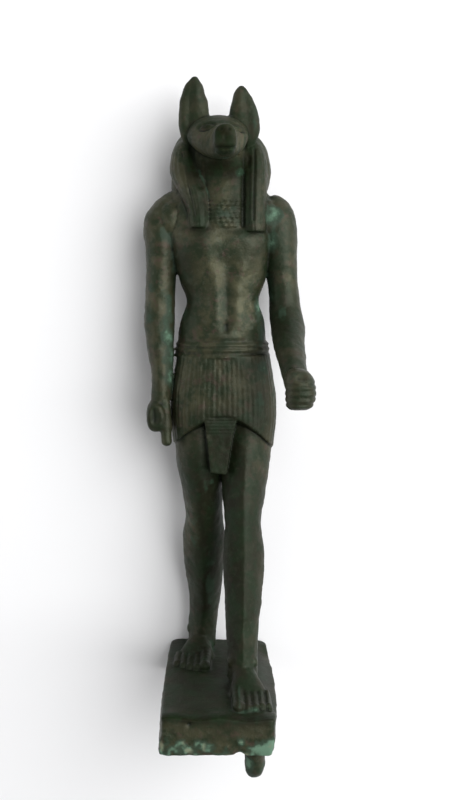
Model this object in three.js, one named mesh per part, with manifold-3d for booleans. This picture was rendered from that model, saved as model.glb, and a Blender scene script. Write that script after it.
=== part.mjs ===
// A solid-cast Egyptian bronze of a striding, jackal-headed god on a thick base, with a casting tang below.
// It lies on its back, as it does when the tang keeps it from standing: x runs to the figure's left,
// y from the underside of its base to its ears, and z from the table up to its front. Millimetres.
import * as THREE from "three";
import { LoftGeometry } from "three/addons/geometries/LoftGeometry.js";
import { mergeVertices } from "three/addons/utils/BufferGeometryUtils.js";
import Module from "manifold-3d";

const wasm = await Module();
wasm.setup();

// Heights above the underside of the base
const BASE_TOP = 8.7;
const KNEE = 46.5;
const HEM_SIDE = 65;
const HEM_MIDDLE = 73.6;
const APRON_TOP = 74.4;
const APRON_BOTTOM = 59.2;
const BELT_BOTTOM = 87.3;
const BELT_TOP = 91.2;
const WAIST = 101.2;
const LAPPET_BOTTOM = 118.6;
const SHOULDER_TOP = 126.3;
const MOUTH = 135.9;
const EYE = 142.7;

// Base and tang
const BASE_LEFT = 12.75;
const BASE_RIGHT = 13.1;
const BASE_DEPTH = 50.5;
const BASE_BULGE = { left: 2.1, right: 0.9 };
const BASE_FLARE = 0.18;
const BASE_LEAN = 0.62;
const BASE_TOP_SLOPE = 0.026;
const BACK_CORNER = 2.8;
const FRONT_CORNER = 1.1;
const WORN_SIDE = { x: 8.9, z: 46, fall: 0.34, rise: 0.025 };
const TANG = { x: 8.3, z: 43, halfWidth: 2.3, length: 8.5 };

// Body axis and limbs
const AXIS_X = 1.1;
const BODY_Z = 12;
const SHOULDER_HALF_WIDTH = 18.7;
const FOOT_LENGTH = 21.6;
const RIGHT_HEEL_Z = 1.6;
const LEFT_HEEL_Z = 25;
const APRON_LEAN = 0.115;

// Repeated carving
const PLEATS = 44;
const PLEAT_DEPTH = 0.3;
const WIG_STRANDS = 26;
const STRAND_DEPTH = 0.28;
const COLLAR_ROWS = 6;
const FINGERS = 4;
const TOES = 5;

const BRONZE = new THREE.MeshStandardMaterial({
  name: "dark_olive_bronze",
  color: 0x3a3b2c,
  roughness: 0.48,
  metalness: 0.75,
});

// Rounded sections

// One number raised to a power with its sign kept, which turns an ellipse into a squarer or sharper section
const signedPower = (value, power) => Math.sign(value) * Math.abs(value) ** power;

// The outline across a limb: its half width, its depth to the front and to the back, and how sharp its front
// is. A sharpness of 2 is an ellipse, less gives a ridge, and more gives a flat face.
function section(centre, along, half, sharp, sides, relief) {
  const across = new THREE.Vector3(1, 0, 0).addScaledVector(along, -along.x).normalize();
  const forward = new THREE.Vector3().crossVectors(across, along).normalize();
  const points = [];
  for (let i = 0; i < sides; i += 1) {
    const angle = (-2 * Math.PI * i) / sides;
    const power = 2 / (Math.sin(angle) > 0 ? sharp.front : sharp.back);
    const side = signedPower(Math.cos(angle), power);
    const depth = signedPower(Math.sin(angle), power);
    const grown = relief(i, side, depth);
    const wide = side * (half.x + grown);
    const deep = depth * ((depth > 0 ? half.y : half.z) + grown);
    points.push(centre.clone().addScaledVector(across, wide).addScaledVector(forward, deep));
  }
  return points;
}

const smooth = () => 0;

const UP = new THREE.Vector3(0, 1, 0);
const BACKWARDS = new THREE.Vector3(0, 0, -1);

// A smooth curve through one triple of numbers of each station
const curveThrough = (triples) =>
  new THREE.CatmullRomCurve3(
    triples.map((triple) => new THREE.Vector3(...triple)),
    false,
    "catmullrom",
  );

// A body through a few stations, with a smooth curve between them. Its sections lie square to one direction,
// or to the curve itself where they follow it.
function body(stations, { sides = 20, rings = 12, way = UP, follow = false, relief = smooth }) {
  const centres = curveThrough(stations.map((station) => station.at));
  const halves = curveThrough(stations.map((station) => station.half));
  const sections = [];
  for (let i = 0; i <= rings; i += 1) {
    const share = i / rings;
    const place = share * (stations.length - 1);
    const below = stations[Math.floor(place)];
    const above = stations[Math.ceil(place)];
    const mix = place - Math.floor(place);
    const sharp = {
      front: THREE.MathUtils.lerp(below.front ?? 2, above.front ?? 2, mix),
      back: THREE.MathUtils.lerp(below.back ?? 2, above.back ?? 2, mix),
    };
    const along = follow ? centres.getTangent(share) : way;
    const half = halves.getPoint(share);
    const atRing = (side, x, z) => relief(side, x, z, share);
    sections.push(section(centres.getPoint(share), along, half, sharp, sides, atRing));
  }
  return solid(new LoftGeometry(sections, { capStart: true, capEnd: true }));
}

// Joining and cutting

function solid(geometry) {
  const bare = new THREE.BufferGeometry();
  bare.setAttribute("position", geometry.attributes.position);
  bare.setIndex(geometry.index);
  const merged = mergeVertices(bare, 1e-4);
  const mesh = new wasm.Mesh({
    numProp: 3,
    vertProperties: new Float32Array(merged.attributes.position.array),
    triVerts: new Uint32Array(merged.index.array),
  });
  return new wasm.Manifold(mesh);
}

function geometryOf(manifold) {
  const mesh = manifold.getMesh();
  const geometry = new THREE.BufferGeometry();
  geometry.setAttribute("position", new THREE.BufferAttribute(new Float32Array(mesh.vertProperties), 3));
  geometry.setIndex(new THREE.BufferAttribute(new Uint32Array(mesh.triVerts), 1));
  geometry.computeVertexNormals();
  return geometry;
}

const join = (solids) => solids.reduce((whole, next) => whole.add(next));

function ellipsoid(centre, radii, across = 10, down = 6) {
  const ball = new THREE.SphereGeometry(1, across, down);
  ball.scale(...radii);
  ball.translate(...centre);
  return solid(ball);
}

// A rounded rod between two points
function rod(from, to, radius, around = 6) {
  const start = new THREE.Vector3(...from);
  const end = new THREE.Vector3(...to);
  const direction = end.clone().sub(start);
  const shape = new THREE.CapsuleGeometry(radius, direction.length(), 1, around);
  const turn = new THREE.Quaternion();
  turn.setFromUnitVectors(UP, direction.clone().normalize());
  shape.applyQuaternion(turn);
  shape.translate(...start.add(end).multiplyScalar(0.5));
  return solid(shape);
}

// Base: a thick block with round back corners. Its sides bulge in plan, most of all the left one, and lean a
// little to its right downwards. Its top dips to its left, and is worn to a slope there beside the left foot.
function base() {
  const back = -BACK_CORNER;
  const front = FRONT_CORNER - BASE_DEPTH;
  const halfWay = (back + front) / 2;
  const plan = new THREE.Shape();
  plan.moveTo(BACK_CORNER - BASE_RIGHT, 0);
  plan.lineTo(BASE_LEFT - BACK_CORNER, 0);
  plan.absarc(BASE_LEFT - BACK_CORNER, back, BACK_CORNER, Math.PI / 2, 0, true);
  plan.quadraticCurveTo(BASE_LEFT + BASE_BULGE.left, halfWay, BASE_LEFT, front);
  plan.absarc(BASE_LEFT - FRONT_CORNER, front, FRONT_CORNER, 0, -Math.PI / 2, true);
  plan.lineTo(FRONT_CORNER - BASE_RIGHT, -BASE_DEPTH);
  plan.absarc(FRONT_CORNER - BASE_RIGHT, front, FRONT_CORNER, -Math.PI / 2, -Math.PI, true);
  plan.quadraticCurveTo(-BASE_RIGHT - BASE_BULGE.right, halfWay, -BASE_RIGHT, back);
  plan.absarc(BACK_CORNER - BASE_RIGHT, back, BACK_CORNER, Math.PI, Math.PI / 2, true);
  const edge = 0.45;
  const block = new THREE.ExtrudeGeometry(plan, {
    depth: BASE_TOP - 2 * edge,
    steps: 1,
    curveSegments: 3,
    bevelSize: edge,
    bevelThickness: edge,
    bevelOffset: -edge,
    bevelSegments: 1,
  });
  block.rotateX(-Math.PI / 2);
  block.translate(0, edge, 0);
  const points = block.attributes.position;
  for (let i = 0; i < points.count; i += 1) {
    const rise = points.getY(i) / BASE_TOP;
    const x = points.getX(i);
    points.setX(i, x + (Math.sign(x) * BASE_FLARE - BASE_LEAN) * (1 - rise));
    points.setY(i, points.getY(i) - BASE_TOP_SLOPE * x * rise);
  }
  const cutter = new THREE.BoxGeometry(20, 6, 2 * BASE_DEPTH);
  cutter.translate(10, 3, -BASE_DEPTH);
  cutter.rotateZ(-WORN_SIDE.fall);
  cutter.rotateX(-WORN_SIDE.rise);
  cutter.translate(WORN_SIDE.x, BASE_TOP - BASE_TOP_SLOPE * WORN_SIDE.x, WORN_SIDE.z);
  return solid(block).subtract(solid(cutter));
}

// Tang: the stub of the casting channel, left on under the left foot
function tang() {
  const { x, z, halfWidth, length } = TANG;
  return body(
    [
      { at: [x, -length, z], half: [0.7, 0.7, 0.7] },
      { at: [x, -length + 0.5, z], half: [1.5, 1.6, 1.6] },
      { at: [x, -length + 2, z], half: [halfWidth - 0.1, 2.9, 2.9] },
      { at: [x, -3.5, z], half: [halfWidth, 3.1, 3.1] },
      { at: [x, 1, z], half: [halfWidth + 0.1, 3.3, 3.3] },
    ],
    { sides: 10, rings: 5 },
  );
}

// Foot: long and flat, its toes side by side like short rods. Its side is 1 for the left one, else -1.
function foot(ankleX, heelZ, side) {
  const sole = BASE_TOP - BASE_TOP_SLOPE * ankleX;
  const at = (out, z) => [ankleX + side * out, sole - 0.4, heelZ + z];
  const arch = body(
    [
      { at: at(1.25, 12.9), half: [4.5, 2.2, 0.6], front: 2.8 },
      { at: at(1.1, 10.8), half: [4.6, 3.3, 0.6], front: 2.4 },
      { at: at(0.7, 7.8), half: [3.8, 5.1, 0.6] },
      { at: at(0.2, 4.4), half: [3.3, 6.6, 0.6] },
      { at: at(0, 1.3), half: [2.8, 5.2, 0.6] },
      { at: at(0, 0), half: [1.6, 2.8, 0.6] },
    ],
    { sides: 14, rings: 7, follow: true },
  );
  const toes = [];
  let reach = -3.2;
  for (let i = 0; i < TOES; i += 1) {
    const radius = i === 0 ? 1.4 : 0.92 - 0.02 * i;
    reach += radius;
    const tip = FOOT_LENGTH - radius - 0.22 * i ** 1.9;
    const x = ankleX + side * (reach + 0.5);
    const y = sole + radius * 0.55;
    toes.push(rod([x - side * 0.2, y + 0.3, heelZ + 11.4], [x, y, heelZ + tip], radius));
    reach += radius * 0.92;
  }
  return join([arch, ...toes]);
}

// Legs: slim, with a sharp ridge from ankle to hem in front and a round calf behind
function rightLeg() {
  return body(
    [
      { at: [-4.55, BASE_TOP + 1, 6], half: [3.65, 3.6, 3.4] },
      { at: [-4.5, 14.8, 6.4], half: [3.75, 3.7, 3.6], front: 1.5 },
      { at: [-3.85, 23, 7.2], half: [4.1, 4.4, 4.4], front: 1.45 },
      { at: [-3.95, 33, 8.8], half: [5.2, 5.1, 5.7], front: 1.45 },
      { at: [-3.9, 40.5, 10], half: [5.5, 5, 5.3], front: 1.6 },
      { at: [-3.95, KNEE, 11], half: [4.75, 5.3, 4.6], front: 2.1 },
      { at: [-4.2, 53, 11.6], half: [5.15, 6, 5.4], front: 1.7 },
      { at: [-4.85, 61, 12.2], half: [6.05, 6.4, 7], front: 1.8 },
      { at: [-4.9, 66.5, 12], half: [6.1, 6.3, 7.8] },
      { at: [-4.9, 73, 11.6], half: [4.6, 4.4, 6.4] },
    ],
    { sides: 16, rings: 11, follow: true },
  );
}

function leftLeg() {
  return body(
    [
      { at: [5.75, BASE_TOP + 1, 28.9], half: [3.8, 3.7, 3.3] },
      { at: [5.7, 15.5, 28.4], half: [3.75, 3.8, 3.4], front: 1.4 },
      { at: [5.8, 23.4, 26.6], half: [4.1, 4.5, 4.3], front: 1.35 },
      { at: [6, 32.5, 24], half: [4.95, 5.1, 5.7], front: 1.35 },
      { at: [6.1, 39.5, 21.8], half: [5.05, 5, 5.4], front: 1.35 },
      { at: [5.95, KNEE, 19.6], half: [4.55, 5.2, 4.6], front: 1.6 },
      { at: [6.15, 53.5, 17], half: [5.45, 5.9, 5.5], front: 1.45 },
      { at: [6.5, 60.5, 14.3], half: [6.25, 6.4, 7], front: 1.5 },
      { at: [6.75, 66, 12.6], half: [6.45, 6.3, 7.8], front: 1.7 },
      { at: [6.4, 73, 11.6], half: [4.7, 4.4, 6.4] },
    ],
    { sides: 16, rings: 11, follow: true },
  );
}

// Kilt: narrow upright pleats down to a hem that rises in an arch to the middle of the front
const KILT_STATIONS = [
  { y: 63, wide: 12.6, front: 7.9, back: 9.3 },
  { y: 67, wide: 12.95, front: 8.2, back: 9.5 },
  { y: 71, wide: 13.4, front: 8.4, back: 9.6 },
  { y: 75, wide: 13.55, front: 8.5, back: 9.5 },
  { y: 79, wide: 13.2, front: 8.5, back: 9.3 },
  { y: 83.5, wide: 12.45, front: 8.3, back: 8.9 },
  { y: 88, wide: 11.6, front: 7.9, back: 8 },
];

function kilt() {
  const first = KILT_STATIONS[0];
  const last = KILT_STATIONS.at(-1);
  const sizes = curveThrough(KILT_STATIONS.map((station) => [station.wide, station.front, station.back]));
  const levels = 4;
  const sides = 2 * PLEATS;
  const sections = [];
  for (let level = 0; level <= levels; level += 1) {
    const points = [];
    for (let i = 0; i < sides; i += 1) {
      const angle = (-2 * Math.PI * i) / sides;
      const side = signedPower(Math.cos(angle), 0.78);
      const depth = signedPower(Math.sin(angle), 0.78);
      const arch = depth > 0 ? (1 - Math.abs(side) ** 1.5) * (HEM_MIDDLE - HEM_SIDE) : -1;
      const hem = HEM_SIDE + arch - 0.5 * side;
      const y = hem + ((last.y - hem) * level) / levels;
      const half = sizes.getPoint((y - first.y) / (last.y - first.y));
      const crease = i % 2 === 0 ? 0 : -PLEAT_DEPTH;
      const wide = side * (half.x + crease);
      const deep = depth * ((depth > 0 ? half.y : half.z) + crease);
      points.push(new THREE.Vector3(AXIS_X + wide, y, BODY_Z + deep));
    }
    sections.push(points);
  }
  return solid(new LoftGeometry(sections, { capStart: true, capEnd: true }));
}

// Belt: two raised cords along its upper half and a thin one along its lower edge, round the hips
const BELT_CORDS = [
  { y: 87.75, proud: 0.3 },
  { y: 89.3, proud: 0.45 },
  { y: 90.55, proud: 0.45 },
];

function belt() {
  const at = (y, proud) => {
    const grown = proud - 0.17 * (y - BELT_BOTTOM);
    return { at: [0.8, y, BODY_Z], half: [11.85 + grown, 7.95 + grown, 8.1 + grown] };
  };
  const stations = [];
  for (const { y, proud } of BELT_CORDS) {
    stations.push(at(y - 0.42, 0));
    stations.push(at(y - 0.2, proud));
    stations.push(at(y + 0.2, proud));
  }
  stations.push(at(BELT_TOP, -0.5));
  return body(stations, { sides: 24, rings: stations.length - 1 });
}

// Apron: the flat hanging end of the belt, between the thighs. It narrows to a straight cut lower edge.
function apron() {
  const drop = APRON_TOP - APRON_BOTTOM;
  const thickness = 5.5;
  const outline = new THREE.Shape();
  outline.moveTo(-3.4, 0);
  outline.quadraticCurveTo(-3.4, -0.4 * drop, -2.15, -drop);
  outline.lineTo(1.8, -drop - 0.5);
  outline.quadraticCurveTo(2.6, -0.52 * drop, 4.5, 0);
  const slab = new THREE.ExtrudeGeometry(outline, {
    depth: thickness,
    curveSegments: 4,
    bevelSize: 0.35,
    bevelThickness: 0.35,
    bevelOffset: -0.35,
    bevelSegments: 1,
  });
  slab.translate(0, 0, -thickness);
  slab.rotateX(-APRON_LEAN);
  slab.translate(0, APRON_TOP, 19.9);
  return solid(slab);
}

// Torso: broad chest, narrow waist, and a groove down the belly to the navel between two long soft ridges
function torso() {
  const bump = (x, middle) => Math.exp(-(((x - middle) / 0.1) ** 2));
  const muscles = (side, x, z, share) => {
    const y = THREE.MathUtils.lerp(88.6, 129.6, share);
    const belly = THREE.MathUtils.smoothstep(y, 93, 96) * (1 - THREE.MathUtils.smoothstep(y, 110, 115));
    return z > 0 ? belly * (0.35 * (bump(x, -0.16) + bump(x, 0.41)) - 0.5 * bump(x, 0.16)) : 0;
  };
  return body(
    [
      { at: [0.85, 88.6, BODY_Z], half: [10.8, 6.7, 7.2] },
      { at: [0.7, 91.8, BODY_Z], half: [11.05, 7.2, 6.9] },
      { at: [0.85, 96.5, BODY_Z], half: [10.4, 7.3, 6.3], front: 2.2 },
      { at: [0.95, WAIST, BODY_Z], half: [9, 6.5, 6], front: 2.3, back: 2.2 },
      { at: [0.85, 106, BODY_Z], half: [10.5, 6.7, 6.6], front: 2.4, back: 2.3 },
      { at: [0.6, 111, BODY_Z - 0.1], half: [11.8, 7.4, 7.4], front: 2.5, back: 2.4 },
      { at: [0.4, 116, BODY_Z - 0.2], half: [12.6, 7.9, 7.9], front: 2.5, back: 2.4 },
      { at: [0.2, 121, BODY_Z - 0.6], half: [12.9, 6.9, 7.8], front: 2.4, back: 2.4 },
      { at: [0.1, 125.5, BODY_Z - 1], half: [13, 5.4, 6.4], front: 2.2, back: 2.2 },
      { at: [0, 127.9, BODY_Z - 1.2], half: [12.2, 3.8, 4.8] },
      { at: [0, 129.6, BODY_Z - 1.4], half: [9.4, 2.4, 3.4] },
    ],
    { sides: 24, rings: 12, relief: muscles },
  );
}

// Shoulders: the muscle that carries the chest over into each upper arm
const SHOULDER_MUSCLE = [4.4, 6.2, 5];
const shoulders = () =>
  join([ellipsoid([-11.6, 120.6, 11.3], SHOULDER_MUSCLE), ellipsoid([11.8, 120.6, 11.3], SHOULDER_MUSCLE)]);

// Right arm: hangs straight, its fist closed beside the thigh with the thumb pointing down
function rightArm() {
  const edge = -SHOULDER_HALF_WIDTH;
  return body(
    [
      { at: [-14.6, 76.5, 15.8], half: [2.45, 2.7, 2.6] },
      { at: [-14.25, 83.5, 14.9], half: [2.65, 3.1, 3] },
      { at: [-14.7, 90.5, 13.6], half: [3.4, 3.6, 3.6] },
      { at: [-14.85, 97, 12.3], half: [3.85, 3.7, 4] },
      { at: [edge + 4.1, 105, 11.5], half: [3.65, 4.1, 4.3] },
      { at: [edge + 4.5, 112, 11.2], half: [3.95, 4.7, 4.9] },
      { at: [edge + 4.5, 117.5, 11], half: [4.55, 5, 5.1] },
      { at: [edge + 4.75, 122, 10.8], half: [4.55, 4.5, 4.7] },
      { at: [edge + 6.1, 125.6, 10.7], half: [3.4, 3.2, 3.5] },
      { at: [edge + 6.8, SHOULDER_TOP + 0.9, 10.7], half: [2.1, 2, 2.2] },
      { at: [edge + 7.5, SHOULDER_TOP + 2, 10.7], half: [1.2, 1.2, 1.4] },
    ],
    { sides: 14, rings: 11 },
  );
}

// A closed hand is a rounded block with a groove between each two of its four fingers
const KNUCKLE_GROOVE = 0.35;
const FIST_RINGS = 12;
const LEFT_FIST_RINGS = 20;
const knuckles = (side, x, z, share) => {
  const ring = Math.round(share * FIST_RINGS);
  return ring % (FIST_RINGS / FINGERS) === 0 ? -KNUCKLE_GROOVE : 0;
};

// The left fist's fingers lie round its lower half, below the thumb
const lowKnuckles = (side, x, z, share) => {
  const ring = Math.round(share * LEFT_FIST_RINGS);
  return ring % 2 === 1 && ring > FINGERS && ring < 3 * FINGERS ? -KNUCKLE_GROOVE : 0;
};

function rightFist() {
  const hand = body(
    [
      { at: [-15.6, 72.4, 19.5], half: [1.5, 2.4, 2.4] },
      { at: [-15.6, 72.5, 18.6], half: [2.3, 3.6, 3.5], front: 2.4, back: 2.4 },
      { at: [-15.6, 72.8, 15.5], half: [2.5, 4.3, 4.1], front: 2.4, back: 2.4 },
      { at: [-15.5, 73, 12.4], half: [2.2, 3.9, 3.7], front: 2.4, back: 2.4 },
      { at: [-15.4, 73.2, 11.3], half: [1.3, 2.4, 2.2] },
    ],
    { sides: 10, rings: FIST_RINGS, follow: true, relief: knuckles },
  );
  const grip = ellipsoid([-16, 73, 20], [1, 2, 1.6], 8, 5);
  const wrist = rod([-14.3, 80, 15.6], [-13.3, 70, 17.2], 1.7, 8);
  const thumb = rod([-13.5, 76, 17], [-13.1, 66.6, 17.6], 1.4, 8);
  return join([hand.subtract(grip), wrist, thumb]);
}

// Left arm: the upper arm hangs and the forearm reaches forward, its fist closed on a staff that is lost
function leftArm() {
  const edge = SHOULDER_HALF_WIDTH + 0.95;
  return body(
    [
      { at: [18.1, 80.8, 39.3], half: [2.3, 2.4, 2.3] },
      { at: [17.7, 82.9, 35.8], half: [2.75, 2.7, 2.6] },
      { at: [17.35, 86.6, 29.6], half: [3.15, 3, 2.9] },
      { at: [17.05, 90.6, 22.6], half: [3.8, 3.4, 3.4] },
      { at: [17.1, 94.2, 16.4], half: [4.15, 3.8, 4] },
      { at: [16.55, 98.8, 12.9], half: [3.95, 3.7, 4.2] },
      { at: [16.15, 104.5, 11.7], half: [3.75, 4, 4.2] },
      { at: [edge - 4.3, 111.5, 11.3], half: [4.3, 4.6, 4.8] },
      { at: [edge - 4.95, 117.5, 11], half: [4.9, 5, 5.1] },
      { at: [edge - 5.45, 122, 10.8], half: [4.65, 4.5, 4.7] },
      { at: [edge - 6.7, 125, 10.7], half: [3.3, 3.2, 3.5] },
      { at: [edge - 7.8, SHOULDER_TOP, 10.7], half: [1.5, 1.4, 1.6] },
    ],
    { sides: 14, rings: 14, follow: true },
  );
}

function leftFist() {
  return body(
    [
      { at: [17.95, 77.5, 40.2], half: [2.2, 2.4, 2.2] },
      { at: [18.2, 78.6, 40.2], half: [3.25, 3.7, 3.3], front: 2.4 },
      { at: [18.35, 81.4, 40], half: [3.65, 4.2, 3.7], front: 2.5 },
      { at: [18.15, 84.2, 39.6], half: [3.4, 4.1, 3.6], front: 2.4 },
      { at: [17.85, 86, 39], half: [2.5, 2.9, 2.8] },
      { at: [17.8, 86.7, 38.6], half: [1, 1.5, 1.4] },
    ],
    { sides: 12, rings: LEFT_FIST_RINGS, relief: lowKnuckles },
  );
}

// Neck and the collar of beads that shows between the two lappets of the wig
function neck() {
  return body(
    [
      { at: [1.2, 118, 12], half: [6.6, 4.6, 4] },
      { at: [1.4, 124, 12], half: [6.6, 5.2, 4] },
      { at: [1.1, 130, 12], half: [6.8, 5.2, 4] },
      { at: [0.8, 136.5, 12.5], half: [6.4, 5.8, 4] },
    ],
    { sides: 12, rings: 4 },
  );
}

function collar() {
  const stations = [];
  const pitch = 1.42;
  for (let i = 0; i < COLLAR_ROWS; i += 1) {
    const y = LAPPET_BOTTOM + 0.4 + i * pitch;
    stations.push({ at: [1.7, y, 12.5], half: [6.4, 6.9 - 0.1 * i, 3], front: 2.6 });
    stations.push({ at: [1.7, y + 0.9, 12.5], half: [6.4, 6.85 - 0.1 * i, 3], front: 2.6 });
    stations.push({ at: [1.7, y + 1.15, 12.5], half: [6.2, 6.5 - 0.1 * i, 3], front: 2.6 });
  }
  return body(stations, { sides: 10, rings: stations.length - 1 });
}

// Head: a jackal's long blunt muzzle, set a little towards its left, with cheeks that slope to a flat skull
function head() {
  const skull = body(
    [
      { at: [1.45, 138.3, 35.3], half: [1.2, 1.8, 1.7], front: 2.4, back: 2.4 },
      { at: [1.45, 138.2, 34.8], half: [2.2, 2.9, 2.9], front: 2.6, back: 2.6 },
      { at: [1.35, 138, 31], half: [2.8, 3.6, 3.6], front: 2.4, back: 2.5 },
      { at: [1.2, 138.2, 28], half: [3.6, 4, 3.8], front: 2.1, back: 2.5 },
      { at: [0.9, 138.7, 25], half: [4.7, 4.3, 4.1], front: 2, back: 2.4 },
      { at: [0.4, 139.6, 21], half: [6.1, 4.8, 4.6], front: 2, back: 2.1 },
      { at: [-0.2, 140.4, 17.5], half: [7.2, 5.2, 5], front: 2.2, back: 1.6 },
      { at: [-0.3, 140.6, 13], half: [7.5, 5.6, 5.2], front: 2.4, back: 1.5 },
      { at: [0, 140.2, 7], half: [6.8, 5, 6] },
    ],
    { sides: 20, rings: 11, way: BACKWARDS },
  );
  const rightEye = ellipsoid([-2.7, EYE + 0.1, 21], [1.7, 0.7, 1], 8, 5);
  const leftEye = ellipsoid([4.6, EYE - 0.1, 20.8], [1.5, 0.7, 1], 8, 5);
  const mouth = new THREE.BoxGeometry(7, 0.55, 9);
  mouth.translate(1.5, MOUTH, 39);
  return join([skull, rightEye, leftEye]).subtract(solid(mouth));
}

// Ears: tall and upright, with a shallow hollow in the outer half of the front. The left tip is worn.
const EAR_HOLLOW = 0.8;
const hollowTo = (out) => (side, x, z, share) => {
  const bowl = Math.exp(-(((x - out * 0.35) / 0.4) ** 2)) * (1 - share ** 3);
  return z > 0 ? -EAR_HOLLOW * bowl * z ** 2 : 0;
};

function rightEar() {
  return body(
    [
      { at: [-5, 137.6, 13.6], half: [2.6, 2, 2] },
      { at: [-5.7, 141, 14.3], half: [3.5, 2.5, 2.4] },
      { at: [-5.95, 144.4, 14.2], half: [3.85, 2.5, 2.4], front: 2.4 },
      { at: [-6.1, 148.4, 13.8], half: [3.6, 2.1, 2], front: 2.4 },
      { at: [-6.2, 151.4, 13.4], half: [2.85, 1.7, 1.6] },
      { at: [-6.05, 153.8, 13.1], half: [1.9, 1.2, 1.2] },
      { at: [-5.85, 155.6, 13], half: [0.55, 0.45, 0.45] },
    ],
    { sides: 14, rings: 7, relief: hollowTo(-1) },
  );
}

function leftEar() {
  return body(
    [
      { at: [5.2, 137.6, 13.4], half: [2.6, 2, 2] },
      { at: [6, 141, 14.1], half: [3.6, 2.5, 2.4] },
      { at: [6.15, 144.2, 14], half: [3.85, 2.5, 2.4], front: 2.4 },
      { at: [6.05, 147.4, 13.7], half: [3.35, 2.1, 2], front: 2.4 },
      { at: [5.8, 150.2, 13.4], half: [2.5, 1.7, 1.6] },
      { at: [5.45, 152.2, 13.2], half: [1.55, 1.2, 1.2] },
      { at: [5.45, 153.4, 13.1], half: [0.5, 0.5, 0.5] },
    ],
    { sides: 14, rings: 7, relief: hollowTo(1) },
  );
}

// Wig: long hair in upright strands, down the back, with a lappet on each side of the chest
const strands = (side) => (side % 2 === 0 ? 0 : -STRAND_DEPTH);

function wig() {
  return body(
    [
      { at: [0, 117.5, 8.4], half: [7.2, 2, 8.1], back: 2.6 },
      { at: [0, 123, 8.6], half: [9, 3.2, 8.4], back: 2.5 },
      { at: [0.15, 128, 9.4], half: [11.85, 6, 9.4], back: 2.4 },
      { at: [0.55, 132, 10], half: [12.4, 7.2, 10.1], back: 2.4 },
      { at: [0.4, 136, 10], half: [12.35, 7, 10.1], back: 2.4 },
      { at: [0.2, 139.6, 10.2], half: [11.15, 5.6, 10], back: 2.3 },
      { at: [-0.1, 142.4, 10.4], half: [8.9, 3.9, 8.9], back: 2.2 },
      { at: [-0.1, 144.8, 10.6], half: [6.6, 3, 6.6] },
      { at: [0, 146, 10.8], half: [2.6, 1.6, 2.6] },
    ],
    { sides: 2 * WIG_STRANDS, rings: 8, relief: strands },
  );
}

function rightLappet() {
  return body(
    [
      { at: [-4.85, LAPPET_BOTTOM + 0.5, 16.4], half: [2.8, 3.4, 3] },
      { at: [-5, 123.4, 16], half: [3.1, 3.6, 3] },
      { at: [-5.9, 127.6, 15], half: [3.9, 3.9, 3.4] },
      { at: [-7.3, 131.6, 13.2], half: [4.5, 4.7, 4] },
      { at: [-8, 135.4, 12.2], half: [3.9, 4.5, 4] },
      { at: [-8, 139, 11.6], half: [2.9, 3.2, 3] },
      { at: [-7.4, 141.4, 11], half: [1.4, 1.4, 1.4] },
    ],
    { sides: 22, rings: 6, relief: strands },
  );
}

function leftLappet() {
  return body(
    [
      { at: [8.55, LAPPET_BOTTOM - 0.4, 16.4], half: [2.85, 3.4, 3] },
      { at: [8.5, 123, 16], half: [3.1, 3.6, 3] },
      { at: [8.6, 127.6, 15], half: [3.35, 3.9, 3.4] },
      { at: [8.8, 131.6, 13.4], half: [3.4, 4.6, 4] },
      { at: [8.8, 135.4, 12.4], half: [3.1, 4.4, 4] },
      { at: [8.3, 139, 11.6], half: [2.6, 3.2, 3] },
      { at: [7.6, 141.2, 11], half: [1.4, 1.4, 1.4] },
    ],
    { sides: 22, rings: 6, relief: strands },
  );
}

// The whole casting, cut level where it lies on the back of its base and of its wig
const casting = join([
  base(),
  tang(),
  foot(-4.9, RIGHT_HEEL_Z, -1),
  foot(5.7, LEFT_HEEL_Z, 1),
  rightLeg(),
  leftLeg(),
  kilt(),
  belt(),
  apron(),
  torso(),
  shoulders(),
  rightArm(),
  rightFist(),
  leftArm(),
  leftFist(),
  neck(),
  collar(),
  head(),
  rightEar(),
  leftEar(),
  wig(),
  rightLappet(),
  leftLappet(),
]);
const table = new THREE.BoxGeometry(80, 220, 10);
table.translate(0, 70, -5);
const statuette = new THREE.Mesh(geometryOf(casting.subtract(solid(table))), BRONZE);
statuette.name = "anubis_statuette";

// The origin is at the middle of the underside of the part as it lies
const box = new THREE.Box3().setFromObject(statuette);
const middle = box.getCenter(new THREE.Vector3());
statuette.position.set(-middle.x, -middle.y, -box.min.z);

const part = new THREE.Group();
part.add(statuette);

export default part;
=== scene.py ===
from math import pi, radians

import bmesh
import bpy
import numpy as np
from mathutils import Matrix, Vector


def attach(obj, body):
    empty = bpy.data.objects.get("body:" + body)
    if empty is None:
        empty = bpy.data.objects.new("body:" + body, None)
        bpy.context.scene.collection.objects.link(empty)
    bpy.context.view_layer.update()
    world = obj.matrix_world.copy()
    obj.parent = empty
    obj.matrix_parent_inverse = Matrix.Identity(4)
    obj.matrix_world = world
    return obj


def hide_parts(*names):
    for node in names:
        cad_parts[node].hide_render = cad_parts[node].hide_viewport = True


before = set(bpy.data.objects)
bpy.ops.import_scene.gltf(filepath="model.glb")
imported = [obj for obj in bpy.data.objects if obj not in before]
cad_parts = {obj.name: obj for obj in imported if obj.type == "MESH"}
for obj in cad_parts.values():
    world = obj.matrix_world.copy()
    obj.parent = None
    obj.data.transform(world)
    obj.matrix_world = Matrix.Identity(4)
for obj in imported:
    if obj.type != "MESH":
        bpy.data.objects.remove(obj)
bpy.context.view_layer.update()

# Base
# The figure stands on a thick solid block that is cast in one with it. Its sides bulge, its back corners are
# round, and its top dips to the figure's left. All of the figure is first modelled in wax, in millimetres:
# x to its left, y from the underside to the ears, z from the table to its front.
BASE_LEFT = 12.75
BASE_RIGHT = 13.1
BASE_TOP = 8.7
BASE_DEPTH = 50.5
BULGE_LEFT = 2.1
BULGE_RIGHT = 0.9
BASE_FLARE = 0.18
BASE_LEAN = 0.62
BASE_SLOPE = 0.026
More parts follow.
